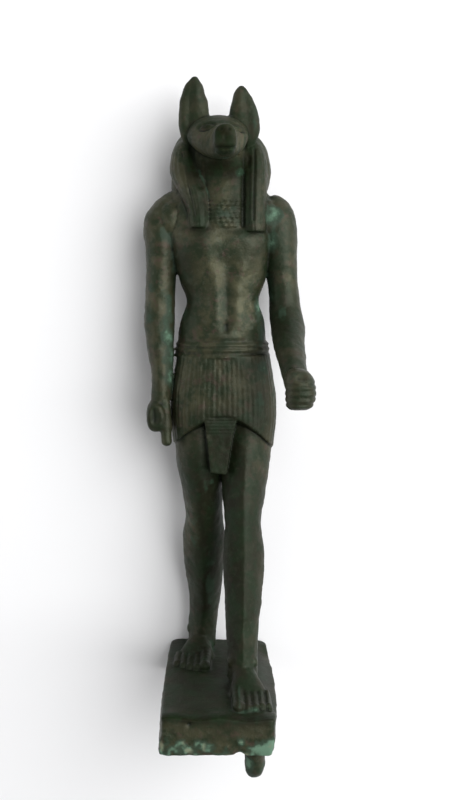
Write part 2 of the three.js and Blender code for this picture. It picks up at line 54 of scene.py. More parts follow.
BACK_CORNER = 2.8
FRONT_CORNER = 1.1
BASE_EDGE = 0.45
BULGE_STEP = 2

wax = bmesh.new()
scratch = bpy.data.meshes.new("scratch")


def press_on(piece):
    """Joins one finished piece of wax to the figure."""
    piece.to_mesh(scratch)
    piece.free()
    wax.from_mesh(scratch)


def round_off(piece, edges, radius, steps):
    bmesh.ops.bevel(
        piece, geom=edges, offset=radius, offset_type="OFFSET", affect="EDGES", segments=steps,
        profile=0.5, material=-1, clamp_overlap=True,
    )


def corners(piece, low, high):
    """The upright edges of the block whose depth lies between two values."""
    return [
        edge
        for edge in piece.edges
        if abs(edge.verts[0].co.y - edge.verts[1].co.y) > BASE_TOP / 2
        and low < edge.verts[0].co.z < high
    ]


block = bmesh.new()
bmesh.ops.create_cube(block, size=1)
bmesh.ops.scale(block, vec=(BASE_LEFT + BASE_RIGHT, BASE_TOP, BASE_DEPTH), verts=block.verts)
middle = ((BASE_LEFT - BASE_RIGHT) / 2, BASE_TOP / 2, BASE_DEPTH / 2)
bmesh.ops.translate(block, vec=middle, verts=block.verts)
round_off(block, corners(block, -1, 1), BACK_CORNER, 8)
round_off(block, corners(block, BASE_DEPTH - 0.1, BASE_DEPTH + 0.1), FRONT_CORNER, 5)
block.normal_update()
round_off(block, [edge for edge in block.edges if edge.calc_face_angle(0) > 1], BASE_EDGE, 4)
for cut in range(4, 50, BULGE_STEP):
    whole = block.verts[:] + block.edges[:] + block.faces[:]
    bmesh.ops.bisect_plane(block, geom=whole, plane_co=(0, 0, cut), plane_no=(0, 0, 1))
for vert in block.verts:
    height = vert.co.y / BASE_TOP
    side = (vert.co.x > 0) - (vert.co.x < 0)
    share = (vert.co.z - BACK_CORNER) / (BASE_DEPTH - BACK_CORNER - FRONT_CORNER)
    swell = max(0, 2 * share * (1 - share)) * (BULGE_LEFT if side > 0 else BULGE_RIGHT)
    vert.co.y -= BASE_SLOPE * vert.co.x * height
    vert.co.x += side * swell + (side * BASE_FLARE - BASE_LEAN) * (1 - height)
press_on(block)

# Tang
# The stub of the channel that the bronze was poured through is left on under the left foot.
# It once went into a socket, so it is rough and a little narrower at its end.
TANG_X = 8.3
TANG_Z = 43
TANG_LENGTH = 8.5


def curve_through(table, place):
    """The smooth curve through the rows of a table at some places along it, and its direction there."""
    ends = np.vstack([2 * table[0] - table[1], table, 2 * table[-1] - table[-2]])
    first = np.minimum(place.astype(int), len(table) - 2)
    t = (place - first)[:, None]
    a, b, c, d = (ends[first + i] for i in range(4))
    bend = 2 * a - 5 * b + 4 * c - d
    swing = 3 * b - a - 3 * c + d
    value = (2 * b + (c - a) * t + bend * t**2 + swing * t**3) / 2
    value[:, 6:] = (b + (c - b) * t)[:, 6:]
    return value, ((c - a) + 2 * bend * t + 3 * swing * t**2) / 2


def sheet_of(around, rings):
    """A flat sheet of wax to wrap, with each point's share of the way round and of the way along."""
    sheet = bmesh.new()
    bmesh.ops.create_grid(sheet, x_segments=around, y_segments=rings, size=1)
    flat = np.array([vert.co[:2] for vert in sheet.verts])
    return sheet, *((flat - flat.min(0)) / np.ptp(flat, axis=0)).T


def wrap(sheet, places):
    """Moves the sheet's points to their places, closes its seam and its two ends, and joins it on."""
    for vert, place in zip(sheet.verts, places):
        vert.co = place
    bmesh.ops.remove_doubles(sheet, verts=sheet.verts, dist=1e-4)
    bmesh.ops.holes_fill(sheet, edges=[edge for edge in sheet.edges if edge.is_boundary], sides=0)
    press_on(sheet)


def model(*sections, around=72, rings=60, follow=False, way_on=(0.0, 1.0, 0.0), relief=None):
    """One body of wax through its cross sections. A section is x, y, z, half width, depth to the front, depth
    to the back, and how sharp its front and its back are: 2 is an ellipse, less a ridge, more a flat face."""
    table = np.array([tuple(row) + (2.0,) * (8 - len(row)) for row in sections], float)
    sheet, turn, share = sheet_of(around, rings)
    value, way = curve_through(table, share * (len(table) - 1))
    if follow:
        along = way[:, :3] / np.linalg.norm(way[:, :3], axis=1)[:, None]
    else:
        along = np.tile(way_on, (len(turn), 1))
    across = np.array((1.0, 0.0, 0.0)) - along * along[:, :1]
    across /= np.linalg.norm(across, axis=1)[:, None]
    forward = np.cross(across, along)
    cos, sin = np.cos(-2 * pi * turn), np.sin(-2 * pi * turn)
    power = 2 / np.where(sin > 0, value[:, 6], value[:, 7])
    side = np.sign(cos) * np.abs(cos) ** power
    depth = np.sign(sin) * np.abs(sin) ** power
    grown = 0 if relief is None else relief(turn, side, depth, share, value[:, 1])
    wide = side * (value[:, 3] + grown)
    deep = depth * (np.where(depth > 0, value[:, 4], value[:, 5]) + grown)
    wrap(sheet, value[:, :3] + across * wide[:, None] + forward * deep[:, None])


model(
    (TANG_X, -TANG_LENGTH, TANG_Z, 0.7, 0.7, 0.7),
    (TANG_X, 0.5 - TANG_LENGTH, TANG_Z, 1.5, 1.6, 1.6),
    (TANG_X, 2 - TANG_LENGTH, TANG_Z, 2.2, 2.9, 2.9),
    (TANG_X, -3.5, TANG_Z, 2.3, 3.1, 3.1),
    (TANG_X, 1, TANG_Z, 2.4, 3.3, 3.3),
    rings=24,
)

# Feet
# Long flat bare feet, the left one forward. The five toes lie side by side, and small ankle bones show.
# They were modelled with the legs and run into the top of the base.
FOOT_LENGTH = 21.6
TOES = 5
GREAT_TOE = 1.4
TOES_START = -3.2


def rod(start, end, radius):
    """A rounded rod of wax between two points."""
    start, end = Vector(start), Vector(end)
    turn = Vector((0, 0, 1)).rotation_difference(end - start).to_matrix()
    ball = bmesh.new()
    bmesh.ops.create_uvsphere(ball, u_segments=24, v_segments=16, radius=radius)
    for vert in ball.verts:
        vert.co = turn @ vert.co + (end if vert.co.z > 0 else start)
    press_on(ball)


def lump(centre, radii):
    """A rounded lump of wax."""
    ball = bmesh.new()
    bmesh.ops.create_uvsphere(ball, u_segments=32, v_segments=20, radius=1)
    bmesh.ops.scale(ball, vec=radii, verts=ball.verts)
    bmesh.ops.translate(ball, vec=centre, verts=ball.verts)
    press_on(ball)


def foot(ankle_x, heel_z, side):
    """One foot from its heel to its toes. The side is -1 for the right foot and 1 for the left one."""
    sole = BASE_TOP - BASE_SLOPE * ankle_x

    def at(out, z, *size):
        return (ankle_x + side * out, sole - 0.4, heel_z + z, *size)

    model(
        at(1.25, 12.9, 4.5, 2.2, 0.6, 2.8),
        at(1.1, 10.8, 4.6, 3.3, 0.6, 2.4),
        at(0.7, 7.8, 3.8, 5.1, 0.6),
        at(0.2, 4.4, 3.3, 6.6, 0.6),
        at(0, 1.3, 2.8, 5.2, 0.6),
        at(0, 0, 1.6, 2.8, 0.6),
        follow=True,
    )
    reach = TOES_START
    for toe in range(TOES):
        radius = GREAT_TOE if toe == 0 else 0.92 - 0.02 * toe
        reach += radius
        tip = heel_z + FOOT_LENGTH - radius - 0.22 * toe**1.9
        x = ankle_x + side * (reach + 0.5)
        y = sole + radius * 0.55
        rod((x - side * 0.2, y + 0.3, heel_z + 11.4), (x, y, tip), radius)
        lump((x, y + 0.12, tip - 0.3), (radius * 1.04, radius, radius * 1.3))
        reach += radius * 0.92
    for out in (-2.9, 2.9):
        lump((ankle_x + side * out, sole + 5.2, heel_z + 4.6), (0.9, 1.4, 1.3))


foot(-4.9, 1.6, -1)
foot(5.7, 25, 1)

# Legs
# Slim legs in a long stride, each with a sharp shin ridge in front, a round calf behind and a flat knee cap.
# Seen from the front the calves just meet. The legs run together above the knees.
model(
    (-4.55, 9.7, 6, 3.65, 3.6, 3.4),
    (-4.5, 14.8, 6.4, 3.75, 3.7, 3.6, 1.5),
    (-3.85, 23, 7.2, 4.1, 4.4, 4.4, 1.45),
    (-3.95, 33, 8.8, 5.2, 5.1, 5.7, 1.45),
    (-3.9, 40.5, 10, 5.5, 5, 5.3, 1.6),
    (-3.95, 46.5, 11, 4.75, 5.3, 4.6, 2.1),
    (-4.2, 53, 11.6, 5.15, 6, 5.4, 1.7),
    (-4.85, 61, 12.2, 6.05, 6.4, 7, 1.8),
    (-4.9, 66.5, 12, 6.1, 6.3, 7.8),
    (-4.9, 73, 11.6, 4.6, 4.4, 6.4),
    rings=120, follow=True,
)
model(
    (5.75, 9.7, 28.9, 3.8, 3.7, 3.3),
    (5.7, 15.5, 28.4, 3.75, 3.8, 3.4, 1.4),
    (5.8, 23.4, 26.6, 4.1, 4.5, 4.3, 1.35),
    (6, 32.5, 24, 4.95, 5.1, 5.7, 1.35),
    (6.1, 39.5, 21.8, 5.05, 5, 5.4, 1.35),
    (5.95, 46.5, 19.6, 4.55, 5.2, 4.6, 1.6),
    (6.15, 53.5, 17, 5.45, 5.9, 5.5, 1.45),
    (6.5, 60.5, 14.3, 6.25, 6.4, 7, 1.5),
    (6.75, 66, 12.6, 6.45, 6.3, 7.8, 1.7),
    (6.4, 73, 11.6, 4.7, 4.4, 6.4),
    rings=120, follow=True,
)

# Kilt, belt and apron
# A short wrapped kilt of narrow upright pleats, whose hem rises in an arch to the middle of the front.
# A belt of three cords holds it, and its flat end hangs between the thighs as an apron.
AXIS_X = 1.1
BODY_Z = 12
HEM_SIDE = 65
HEM_MIDDLE = 73.6
HEM_TILT = 0.5
PLEATS = 58
PLEAT_DEPTH = 0.16
PLEAT_COLUMNS = 10
KILT_RINGS = 80
KILT_TOP = 88
KILT_CORNER = 0.78
KILT_HALF_WIDTH = 13
KILT_HALF_DEPTH = 8.8
APRON_TOP = 74.4
APRON_TOP_Z = 19.9
APRON_LEAN = 0.115
APRON_THICKNESS = 5.5
BELT_BOTTOM = 87.4
BELT_TOP = 91.2
UPPER_CORDS = (90.55, 89.3)
LOWER_CORD = 87.7

kilt_sizes = np.array(
    [
        (12.6, 7.9, 9.3),
        (12.95, 8.2, 9.5),
        (13.4, 8.4, 9.6),
        (13.55, 8.5, 9.5),
        (13.2, 8.5, 9.3),
        (12.45, 8.3, 8.9),
        (11.6, 7.9, 8.0),
    ]
)
kilt_heights = np.array([63, 67, 71, 75, 79, 83.5, 88.0])


def hem_height(side, depth):
    """How high the hem hangs at one place round the body."""
    arch = (1 - np.abs(side) ** 1.5) * (HEM_MIDDLE - HEM_SIDE)
    return HEM_SIDE + np.where(depth > 0, arch, np.maximum(-1, 4 * depth)) - HEM_TILT * side


def length_round(side, depth, turn):
    """The share of the kilt's girth up to each point, so that all pleats are equally wide."""
    order = np.argsort(turn, kind="stable")
    steps, first = np.unique(turn[order], return_index=True)
    across, deep = side[order][first] * KILT_HALF_WIDTH, depth[order][first] * KILT_HALF_DEPTH
    ring = np.stack([across, deep], 1)
    lengths = np.concatenate([[0], np.cumsum(np.linalg.norm(np.diff(ring, axis=0), axis=1))])
    return np.interp(turn, steps, lengths / lengths[-1])


def kilt():
    sheet, turn, share = sheet_of(PLEAT_COLUMNS * PLEATS, KILT_RINGS)
    cos, sin = np.cos(-2 * pi * turn), np.sin(-2 * pi * turn)
    side = np.sign(cos) * np.abs(cos) ** KILT_CORNER
    depth = np.sign(sin) * np.abs(sin) ** KILT_CORNER
    hem = hem_height(side, depth)
    y = hem + (KILT_TOP - hem) * share
    wide, front, back = (np.interp(y, kilt_heights, column) for column in kilt_sizes.T)
    crease = -PLEAT_DEPTH * np.abs(np.cos(pi * PLEATS * length_round(side, depth, turn))) ** 3
    x = AXIS_X + side * (wide + crease)
    z = BODY_Z + depth * (np.where(depth > 0, front, back) + crease)
    wrap(sheet, np.stack([x, y, z], 1))


def cords(turn, side, depth, share, y):
    """Two round cords along the belt's upper half and a thin one along its lower edge."""
    upper = sum(np.exp(-(((y - height) / 0.4) ** 2)) for height in UPPER_CORDS)
    return 0.42 * upper + 0.3 * np.exp(-(((y - LOWER_CORD) / 0.35) ** 2)) + 0.1


kilt()
model(
    (0.8, BELT_BOTTOM, BODY_Z, 11.75, 7.85, 8.0),
    (0.8, 89.3, BODY_Z, 11.45, 7.55, 7.7),
    (0.8, BELT_TOP, BODY_Z, 11.1, 7.2, 7.4),
    around=120, rings=40, relief=cords,
)

apron = bmesh.new()
right_edge = [(-3.4, APRON_TOP), (-3.35, 69.5), (-2.6, 62.8), (-2.15, 59.2)]
left_edge = [(1.8, 58.7), (2.35, 62), (3.1, 67), (4.2, 71.5), (4.5, APRON_TOP)]
face = apron.faces.new([apron.verts.new((x, y, 0)) for x, y in right_edge + left_edge])
thick = bmesh.ops.extrude_face_region(apron, geom=[face])["geom"]
thick = [part for part in thick if isinstance(part, bmesh.types.BMVert)]
bmesh.ops.translate(apron, vec=(0, 0, -APRON_THICKNESS), verts=thick)
for vert in apron.verts:
    vert.co.z += APRON_TOP_Z + APRON_LEAN * (APRON_TOP - vert.co.y)
press_on(apron)

# Torso, neck and collar
# A broad bare chest with a narrow waist.
# Between the ends of the wig six rows of a bead collar show below the smooth throat.
COLLAR_BOTTOM = 119.0
COLLAR_PITCH = 1.1
COLLAR_ROWS = 6
COLLAR_HEIGHT = 8.5


def bead_rows(turn, side, depth, share, y):
    """The collar's rows, each a rounded band."""
    row = (y - COLLAR_BOTTOM) / COLLAR_PITCH
    return -0.3 * np.abs(np.cos(pi * row)) ** 3 * (row < COLLAR_ROWS)


model(
    (0.85, 88.6, 12, 10.8, 6.7, 7.2),
    (0.7, 91.8, 12, 11.05, 7.2, 6.9),
    (0.85, 96.5, 12, 10.4, 7.3, 6.3, 2.2),
    (0.95, 101.2, 12, 9, 6.5, 6, 2.3, 2.2),
    (0.85, 106, 12, 10.5, 6.7, 6.6, 2.4, 2.3),
    (0.6, 111, 11.9, 11.8, 7.4, 7.4, 2.5, 2.4),
    (0.4, 116, 11.8, 12.6, 7.9, 7.9, 2.5, 2.4),
    (0.2, 121, 11.4, 12.9, 6.9, 7.8, 2.4, 2.4),
    (0.1, 125.5, 11, 13, 5.4, 6.4, 2.2, 2.2),
    (0, 127.9, 10.8, 12.2, 3.8, 4.8),
    (0, 129.6, 10.6, 9.4, 2.4, 3.4),
    around=120, rings=110,
)
for out in (-11.6, 11.8):
    lump((out, 120.6, 11.3), (4.4, 6.2, 5.0))
model(
    (1.2, 118, 12, 6.6, 4.6, 4),
    (1.4, 124, 12, 6.6, 5.2, 4),
    (1.1, 130, 12, 6.8, 5.2, 4),
    (0.8, 136.5, 12.5, 6.4, 5.8, 4),
)
model(
    (1.7, COLLAR_BOTTOM, 12.5, 6.4, 6.9, 3, 2.6),
    (1.7, COLLAR_BOTTOM + COLLAR_HEIGHT / 2, 12.5, 6.4, 6.6, 3, 2.6),
    (1.7, COLLAR_BOTTOM + COLLAR_HEIGHT, 12.5, 6.3, 5.7, 3, 2.6),
    (1.7, COLLAR_BOTTOM + 1.5 * COLLAR_HEIGHT, 12.5, 6.2, 4.6, 3, 2.6),
    rings=70, relief=bead_rows,
)

# Arms and hands
# The right arm hangs straight with its thumb pointing down. The left forearm reaches forward.
# Both fists are closed on things that are lost, and the left one keeps the grooves between its fingers.
model(
    (-14.6, 76.5, 15.8, 2.45, 2.7, 2.6),
    (-14.25, 83.5, 14.9, 2.65, 3.1, 3),
    (-14.7, 90.5, 13.6, 3.4, 3.6, 3.6),
    (-14.85, 97, 12.3, 3.85, 3.7, 4),
    (-14.6, 105, 11.5, 3.65, 4.1, 4.3),
    (-14.2, 112, 11.2, 3.95, 4.7, 4.9),
    (-14.2, 117.5, 11, 4.55, 5, 5.1),
    (-13.95, 122, 10.8, 4.55, 4.5, 4.7),
    (-12.6, 125.6, 10.7, 3.4, 3.2, 3.5),
    (-11.9, 127.2, 10.7, 2.1, 2, 2.2),
    (-11.2, 128.3, 10.7, 1.2, 1.2, 1.4),
    rings=110,
)
model(
    (-15.6, 72.4, 19.5, 1.5, 2.4, 2.4),
    (-15.6, 72.5, 18.6, 2.3, 3.6, 3.5, 2.4, 2.4),
    (-15.6, 72.8, 15.5, 2.5, 4.3, 4.1, 2.4, 2.4),
    (-15.5, 73, 12.4, 2.2, 3.9, 3.7, 2.4, 2.4),
    (-15.4, 73.2, 11.3, 1.3, 2.4, 2.2),
    follow=True,
)
rod((-14.3, 80, 15.6), (-13.3, 70, 17.2), 1.7)
rod((-13.5, 76, 17), (-13.1, 66.6, 17.6), 1.4)
model(
    (18.1, 80.8, 39.3, 2.3, 2.4, 2.3),
    (17.7, 82.9, 35.8, 2.75, 2.7, 2.6),
    (17.35, 86.6, 29.6, 3.15, 3, 2.9),
    (17.05, 90.6, 22.6, 3.8, 3.4, 3.4),
    (17.1, 94.2, 16.4, 4.15, 3.8, 4),
    (16.55, 98.8, 12.9, 3.95, 3.7, 4.2),
    (16.15, 104.5, 11.7, 3.75, 4, 4.2),
    (15.35, 111.5, 11.3, 4.3, 4.6, 4.8),
    (14.7, 117.5, 11, 4.9, 5, 5.1),
    (14.2, 122, 10.8, 4.65, 4.5, 4.7),
    (12.95, 125, 10.7, 3.3, 3.2, 3.5),
    (11.85, 126.3, 10.7, 1.5, 1.4, 1.6),
    rings=130, follow=True,
)
FINGER = 1.45
FIST_BOTTOM = 77.6
FIRST_FINGER = 83.4


def fingers(turn, side, depth, share, y):
    """Four fingers round the lower part of the left fist."""
    groove = np.abs(np.cos(pi * (y - FIST_BOTTOM) / FINGER)) ** 4
    return np.where((y < FIRST_FINGER + 0.3) & (y > FIST_BOTTOM + 0.5) & (depth > -0.5), -0.32 * groove, 0)


model(
    (17.95, 77.5, 40.2, 2.2, 2.4, 2.2),
    (18.2, 78.6, 40.2, 3.25, 3.7, 3.3, 2.4),
    (18.35, 81.4, 40, 3.65, 4.2, 3.7, 2.5),
    (18.15, 84.2, 39.6, 3.4, 4.1, 3.6, 2.4),
    (17.85, 86, 39, 2.5, 2.9, 2.8),
    (17.8, 86.7, 38.6, 1, 1.5, 1.4),
    around=96, rings=110, relief=fingers,
)

# Head
# A jackal's head with a long muzzle, set a little towards its left, on a round skull that is flat on top.
# The ears stand tall, each with a shallow hollow in its front. The left one is worn blunt at its tip.
EAR_HOLLOW = 0.75

model(
    (1.45, 138.3, 35.3, 1.2, 1.8, 1.7, 2.4, 2.4),
    (1.45, 138.2, 35.0, 2.1, 2.8, 2.8, 2.5, 2.5),
    (1.45, 138.1, 34.2, 2.5, 3.3, 3.2, 2.5, 2.5),
    (1.35, 138.0, 31, 2.8, 3.6, 3.6, 2.4, 2.5),
    (1.2, 138.2, 28, 3.6, 4.0, 3.8, 2.1, 2.5),
    (0.9, 138.7, 25, 4.7, 4.3, 4.1, 2.0, 2.4),
    (0.4, 139.6, 21, 6.1, 4.8, 4.6, 2.0, 2.1),
    (-0.2, 140.4, 17.5, 7.2, 5.2, 5.0, 2.2, 1.6),
    (-0.3, 140.6, 13, 7.5, 5.6, 5.2, 2.4, 1.5),
    (0, 140.2, 7, 6.8, 5, 6),
    around=140, rings=130, way_on=(0.0, 0.0, -1.0),
)


def hollow_to(out):
    """The hollow in the front of an ear, deepest towards its outer edge, with a soft ridge inside it."""

    def hollow(turn, side, depth, share, y):
        bowl = np.exp(-(((side - out * 0.35) / 0.4) ** 2)) * (1 - share**3)
        return np.where(depth > 0, -EAR_HOLLOW * bowl * depth**2, 0)

    return hollow


model(
    (-5, 137.6, 13.6, 2.6, 2, 2),
    (-5.7, 141, 14.3, 3.5, 2.5, 2.4),
    (-5.95, 144.4, 14.2, 3.85, 2.5, 2.4, 2.4),
    (-6.1, 148.4, 13.8, 3.6, 2.1, 2, 2.4),
    (-6.2, 151.4, 13.4, 2.85, 1.7, 1.6),
    (-6.05, 153.8, 13.1, 1.9, 1.2, 1.2),
    (-5.85, 155.6, 13, 0.55, 0.45, 0.45),
    relief=hollow_to(-1),
)
model(
    (5.2, 137.6, 13.4, 2.6, 2, 2),
    (6, 141, 14.1, 3.6, 2.5, 2.4),
    (6.15, 144.2, 14, 3.85, 2.5, 2.4, 2.4),
    (6.05, 147.4, 13.7, 3.35, 2.1, 2, 2.4),
    (5.8, 150.2, 13.4, 2.5, 1.7, 1.6),
    (5.45, 152.2, 13.2, 1.55, 1.2, 1.2),
    (5.45, 153.4, 13.1, 0.5, 0.5, 0.5),
    relief=hollow_to(1),
)

# Wig
# A long heavy wig in upright strands covers the back of the head and shoulders.
# A lappet with a straight cut end falls on each side of the chest.
STRAND_DEPTH = 0.16


def strands(count):
    """Round strands of hair side by side."""

    def groove(turn, side, depth, share, y):
        return -STRAND_DEPTH * np.abs(np.cos(pi * count * turn)) ** 3

    return groove


model(
    (0, 117.5, 8.4, 7.2, 2, 8.1, 2, 2.6),
    (0, 123, 8.6, 9, 3.2, 8.4, 2, 2.5),
    (0.15, 128, 9.4, 11.85, 6, 9.4, 2, 2.4),
    (0.55, 132, 10, 12.4, 7.2, 10.1, 2, 2.4),
    (0.4, 136, 10, 12.35, 7, 10.1, 2, 2.4),
    (0.2, 139.6, 10.2, 11.15, 5.6, 10, 2, 2.3),
    (-0.1, 142.4, 10.4, 8.9, 3.9, 8.9, 2, 2.2),
    (-0.1, 144.8, 10.6, 6.6, 3, 6.6),
    (0, 146, 10.8, 2.6, 1.6, 2.6),
    around=400, rings=90, relief=strands(50),
)
model(
    (-4.85, 119.1, 16.4, 2.8, 3.4, 3),
    (-5, 123.4, 16, 3.1, 3.6, 3),
    (-5.9, 127.6, 15, 3.9, 3.9, 3.4),
    (-7.3, 131.6, 13.2, 4.5, 4.7, 4),
    (-8, 135.4, 12.2, 3.9, 4.5, 4),
    (-8, 139, 11.6, 2.9, 3.2, 3),
    (-7.4, 141.4, 11, 1.4, 1.4, 1.4),
    around=180, rings=70, relief=strands(20),
)
model(
    (8.55, 118.2, 16.4, 2.85, 3.4, 3),
    (8.5, 123, 16, 3.1, 3.6, 3),
    (8.6, 127.6, 15, 3.35, 3.9, 3.4),
    (8.8, 131.6, 13.4, 3.4, 4.6, 4),
    (8.8, 135.4, 12.4, 3.1, 4.4, 4),
    (8.3, 139, 11.6, 2.6, 3.2, 3),
    (7.6, 141.2, 11, 1.4, 1.4, 1.4),
    around=180, rings=70, relief=strands(20),
)

# Casting
# The wax was buried in clay, melted out and replaced by bronze in one pour, so all of it is one skin.
# It lies flat on the back of its base and of its wig.
ORIGIN = Vector((1.592, 73.55, 0))
SKIN_GRAIN = 0.24
MOST_TRIANGLES = 190000
SMOOTHINGS = 2

wax_mesh = bpy.data.meshes.new("anubis_wax")
wax.to_mesh(wax_mesh)
wax.free()
figure = bpy.data.objects.new("anubis_bronze", wax_mesh)
bpy.context.scene.collection.objects.link(figure)


def settle(kind, **values):
    """Adds one modifier to the figure, keeps its result and drops the modifier."""
    change = figure.modifiers.new(kind.lower(), kind)
    for key, value in values.items():
        setattr(change, key, value)
    seen = figure.evaluated_get(bpy.context.evaluated_depsgraph_get())
    figure.data = bpy.data.meshes.new_from_object(seen)
    figure.modifiers.clear()


settle("REMESH", mode="VOXEL", voxel_size=SKIN_GRAIN, use_smooth_shade=True)


def read(values, name, width):
    flat = np.empty(len(values) * width, np.float32)
    values.foreach_get(name, flat)
    return flat.reshape(-1, width).astype(float)


points = read(figure.data.vertices, "co", 3)
pairs = read(figure.data.edges, "vertices", 2).astype(int)
ends = np.concatenate([pairs[:, 0], pairs[:, 1]])
others = np.concatenate([pairs[:, 1], pairs[:, 0]])
neighbours = np.bincount(ends, minlength=len(points))


def average(values):
    """Each point's value moved half way to the mean of its neighbours."""
    columns = [np.bincount(ends, column[others], len(points)) / neighbours for column in values.T]
    return (values + np.stack(columns, 1)) / 2


for _ in range(SMOOTHINGS):
    points = average(points)


def lie_of_skin():
    """The outward direction at each point."""
    figure.data.vertices.foreach_set("co", points.astype(np.float32).ravel())
    figure.data.update()
    return read(figure.data.vertex_normals, "vector", 3)


def rise(value, low, high):
    share = np.clip((value - low) / (high - low), 0, 1)
    return share * share * (3 - 2 * share)


def near(place, radii):
    """1 at a place on the skin, fading to nothing past its radii."""
    return np.exp(-(((points - place) / radii) ** 2).sum(1))


def beside(*route):
    """How far each point is from a line drawn on the front of the figure."""
    seen = points[:, :2]
    best = np.full(len(points), 99.0)
    for start, end in zip(route, route[1:]):
        along = np.subtract(end, start)
        share = np.clip((seen - start) @ along / (along @ along), 0, 1)
        best = np.minimum(best, np.linalg.norm(seen - start - share[:, None] * along, axis=1))
    return best


def line(width, *route):
    """1 on a line across the front, fading at its width."""
    return np.exp(-((beside(*route) / width) ** 2)) * facing


def push(amount):
    """Raises the skin where the amount is positive and sinks it where it is negative."""
    points[:] += normals * amount[:, None]


def patches(size, seed):
    """Uneven patches of one size over the whole skin, from -1 to 1."""
    place = (points - points.min(0)) / size
    cell = place.astype(int)
    part = rise(place - cell, 0, 1)
    lattice = np.random.default_rng(seed).uniform(-1, 1, cell.max(0) + 2)
    total = 0
    for corner in np.ndindex(2, 2, 2):
        weight = np.where(corner, part, 1 - part).prod(1)
        total = total + weight * lattice[tuple((cell + corner).T)]
    return 1.6 * total


normals = lie_of_skin()
facing = rise(normals[:, 2], 0.05, 0.5)
x, y, z = points.T.copy()

# Chased body
# After casting, the fine lines were cut and the muscles rounded with chisels and scrapers.
# The belly has a furrow down to the round navel, between two long soft ridges under flat chest muscles.
front = rise(z, 14, 17)
belly = front * rise(y, 93, 96) * (1 - rise(y, 109, 114))
push(-0.55 * belly * line(1.9, (2.2, 114), (2.1, 104), (1.95, 94)))
push(0.35 * front * line(1.6, (-3.6, 114), (-1.1, 106), (-0.5, 97)) * rise(y, 94, 99))
push(0.4 * front * line(1.8, (8.2, 114.5), (5.6, 109), (4.7, 104), (4.8, 95)) * rise(y, 94, 99))
push(-0.4 * line(0.8, (1.75, 95.2), (1.8, 94.4)) * front)
push(0.25 * line(0.9, (-2, 92.6), (5, 92.5)) * front)
push(0.5 * near((6.8, 116.2, 18.5), (3.6, 2.2, 5)) + 0.3 * near((-4.8, 116.2, 18.5), (3.8, 2.2, 5)))

# Chased kilt and collar
# Fine cross lines were cut into the top of the apron, and the collar's rows were broken into beads.
# All of them are worn shallow.
CROSS_LINE = 0.8
BEAD = 1.35

on_apron = rise(x, -3.6, -3.0) * (1 - rise(x, 3.8, 4.4)) * rise(z, 19, 19.6)
on_apron *= rise(y, 68.2, 68.8) * (1 - rise(y, 73, 73.6))
push(-0.12 * on_apron * np.abs(np.cos(pi * y / CROSS_LINE)) ** 3)
on_collar = rise(x, -2.4, -1.8) * (1 - rise(x, 5.0, 5.6)) * rise(z, 16.5, 17.5)
on_collar *= rise(y, 118.8, 119.2) * (1 - rise(y, 125.4, 125.8))
bead = 2 * pi * x / BEAD + 2 * np.floor((y - COLLAR_BOTTOM) / COLLAR_PITCH)
push(0.05 * on_collar * np.cos(bead))

# Chased head and wig
# A slot marks the mouth round the end of the muzzle, below a broad nose with two nostrils. The eyes are low
# almonds, each inside a fine groove, and the brow dips between them. A few deep lines part the strands of the
# wig beside the face and down its lappets.
MOUTH_Y = 135.9
NOSE_X = 1.45
NOSE_Y = 140.0
NOSE_Z = 35.2
NOSTRILS = (0.55, 2.35)
EYES = ((-3.0, 142.2, 0.15), (4.9, 142.0, -0.15))
EYE_HALF_WIDTH = 1.9
EYE_HALF_HEIGHT = 0.95

muzzle = rise(z, 29, 31)
push(-0.65 * np.exp(-(((y - MOUTH_Y) / 0.34) ** 2)) * muzzle * (0.25 + 0.75 * facing))
push(0.15 * np.exp(-(((y - 137.0) / 0.35) ** 2)) * rise(z, 32, 34))
push(0.2 * near((NOSE_X, NOSE_Y, NOSE_Z), (1.6, 1.0, 1.2)))
for nostril in NOSTRILS:
    push(-0.4 * near((nostril, NOSE_Y, NOSE_Z), (0.45, 0.4, 1)))
push(-0.2 * near((NOSE_X, 138.2, NOSE_Z), (0.3, 0.9, 1)))
on_face = rise(z, 17, 19) * (1 - rise(z, 27, 29))
for eye_x, eye_y, lean in EYES:
    along = (x - eye_x) + (y - eye_y) * lean
    across = (y - eye_y) - (x - eye_x) * lean
    rim = np.hypot(along / EYE_HALF_WIDTH, across / EYE_HALF_HEIGHT)
    push((0.35 * (1 - rise(rim, 0.3, 0.8)) - 0.3 * np.exp(-(((rim - 1) / 0.25) ** 2))) * on_face)
push(-0.25 * np.exp(-(((x - 0.9) / 1.3) ** 2 + ((y - 142.6) / 0.8) ** 2)) * on_face)
push(-0.4 * line(0.5, (6.3, 139.5), (5.95, 131), (5.75, 119.5)))
push(-0.35 * line(0.35, (8.7, 138), (8.4, 130), (8.3, 121)))
push(-0.25 * line(0.3, (7.4, 136), (7.2, 128), (7.1, 120)))
push(-0.45 * line(0.7, (-7.3, 140), (-5.9, 134.5), (-4.4, 129)))
push(-0.25 * line(0.35, (-9.0, 137), (-7.6, 130), (-5.9, 122)))

# Chased hands
# The right fist keeps the mouth of the hole for what it once held. The hole isn't cut through here.
# A short dent shows above the fingers of the left fist.
push(-0.8 * line(1.0, (-16.1, 74.4), (-16.0, 72.0)) * rise(z, 17.5, 19))
push(-0.7 * line(0.8, (17.7, 85.2), (18.9, 85.0)) * rise(z, 38, 40))

